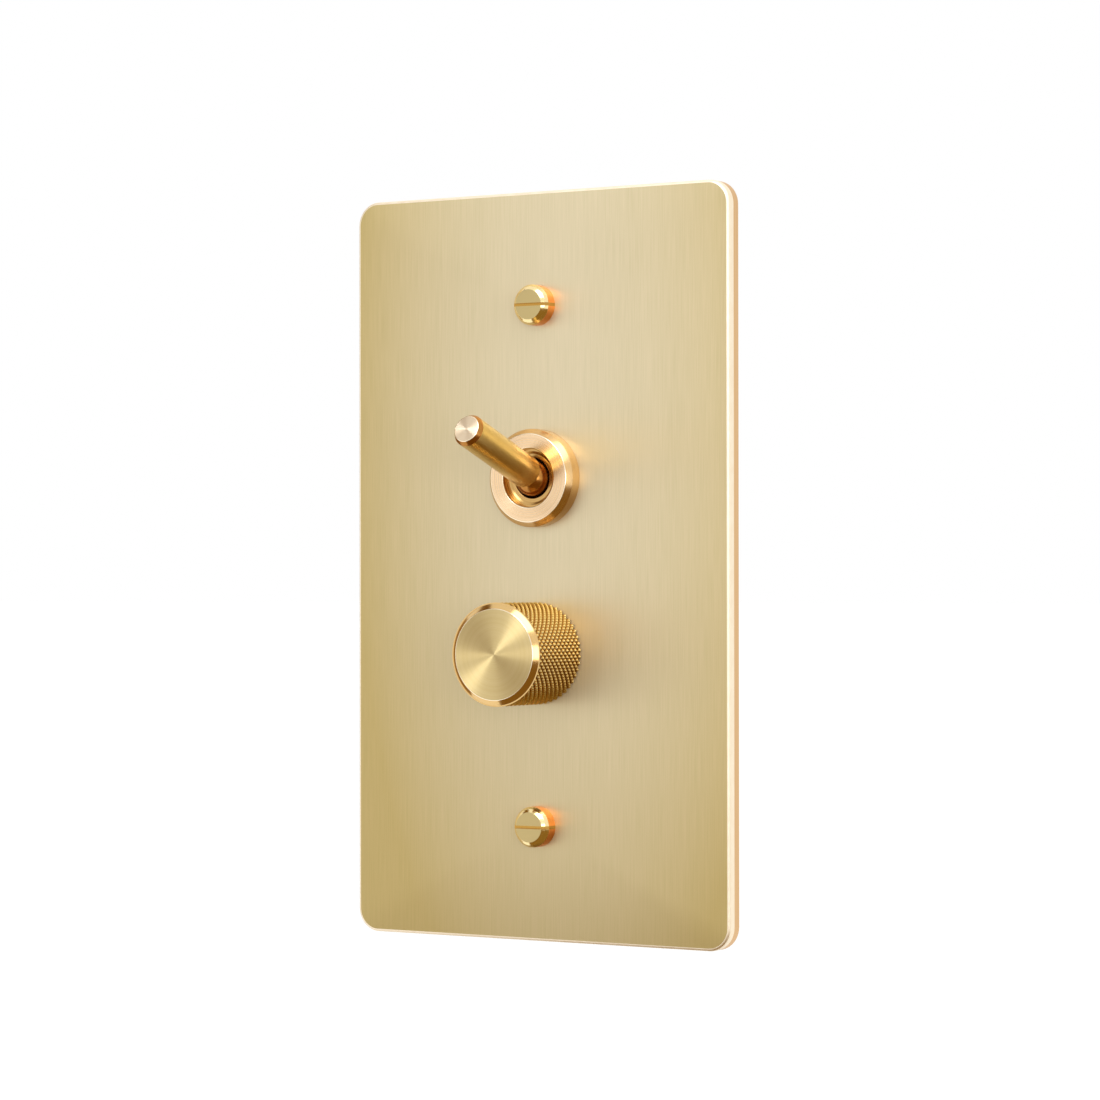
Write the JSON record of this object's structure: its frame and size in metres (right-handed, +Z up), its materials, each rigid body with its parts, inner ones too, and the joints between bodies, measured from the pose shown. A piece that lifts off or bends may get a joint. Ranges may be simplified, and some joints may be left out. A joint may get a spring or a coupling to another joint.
{
  "type": "toggle switch with dimmer",
  "caption": "Brushed brass wall plate with a round-bezel toggle switch above a knurled rotary dimmer knob, held by slotted screws.",
  "frame": {"origin": "middle between the two box screws, on the wall surface behind the plate", "axes": "+X to the right seen from the room, +Y into the wall along the box screws, +Z up the plate"},
  "size_m": [0.07, 0.0573, 0.12],
  "materials": {
    "brushed_brass_plate": "brushed, lacquered",
    "brass_frame": "rolled sheet",
    "polished_brass_screws": "turned and polished",
    "polished_brass_bezel": "turned and polished",
    "polished_brass_lever": "turned and polished",
    "knurled_brass_knob": "knurled side, turned face",
    "turned_brass": "turned",
    "zinc_plated_steel": "zinc plated",
    "bright_steel": "bright",
    "black_moulding": "moulded",
    "white_moulding": "moulded",
    "contact_silver": "silver alloy",
    "phenolic_track": "laminate",
    "board_laminate": "laminate",
    "copper_winding": "enamelled copper wire",
    "capacitor_case": "moulded box",
    "aluminium_sheet": "mill finish"
  },
  "bodies": {
    "plate": {"faceplate": "brushed_brass_plate", "backing_frame": "brass_frame", "mounting_strap": "zinc_plated_steel", "plate_screw_upper": "polished_brass_screws", "plate_screw_lower": "polished_brass_screws", "earth_screw": "zinc_plated_steel", "toggle_bezel": "polished_brass_bezel", "toggle_bushing": "turned_brass", "pivot_pin": "bright_steel", "switch_frame": "zinc_plated_steel", "switch_housing": "black_moulding", "switch_base": "black_moulding", "switch_terminal_upper": "turned_brass", "switch_terminal_common": "turned_brass", "switch_terminal_lower": "turned_brass", "switch_screw_upper": "bright_steel", "switch_screw_common": "bright_steel", "switch_screw_lower": "bright_steel", "dimmer_housing": "black_moulding", "control_bushing": "turned_brass", "control_washer": "bright_steel", "control_nut": "turned_brass", "control_case": "zinc_plated_steel", "resistance_track": "phenolic_track", "circuit_board": "board_laminate", "choke": "copper_winding", "capacitor": "capacitor_case", "heatsink": "aluminium_sheet", "triac": "black_moulding", "triac_screw": "bright_steel", "terminal_strip": "white_moulding", "strip_screw_1": "bright_steel", "strip_screw_2": "bright_steel", "strip_screw_3": "bright_steel", "dimmer_cover": "black_moulding"},
    "toggle": {"toggle_lever": "polished_brass_lever"},
    "carriage": {"contact_carriage": "white_moulding", "moving_contact": "contact_silver"},
    "knob": {"dimmer_knob": "knurled_brass_knob", "knob_clip": "bright_steel", "dimmer_shaft": "bright_steel", "wiper_rotor": "white_moulding", "wiper_contact": "contact_silver"}
  },
  "joints": [
    {"name": "toggle_throw", "type": "hinge", "parent": "plate", "child": "toggle", "pos_m": [0, -0.0041, 0.014], "axis": [1, 0, 0], "range_deg": [0, 40]},
    {"name": "carriage_travel", "type": "slide", "parent": "plate", "child": "carriage", "axis": [0, 0, 1], "range_m": [0, 0.00822]},
    {"name": "dimmer_turn", "type": "hinge", "parent": "plate", "child": "knob", "pos_m": [0, -0.0095, -0.014], "axis": [0, 1, 0], "range_deg": [0, 300]}
  ],
  "couplings": [
    {"joint": "carriage_travel", "follows": "toggle_throw", "m_per_rad": 0.011758}
  ]
}
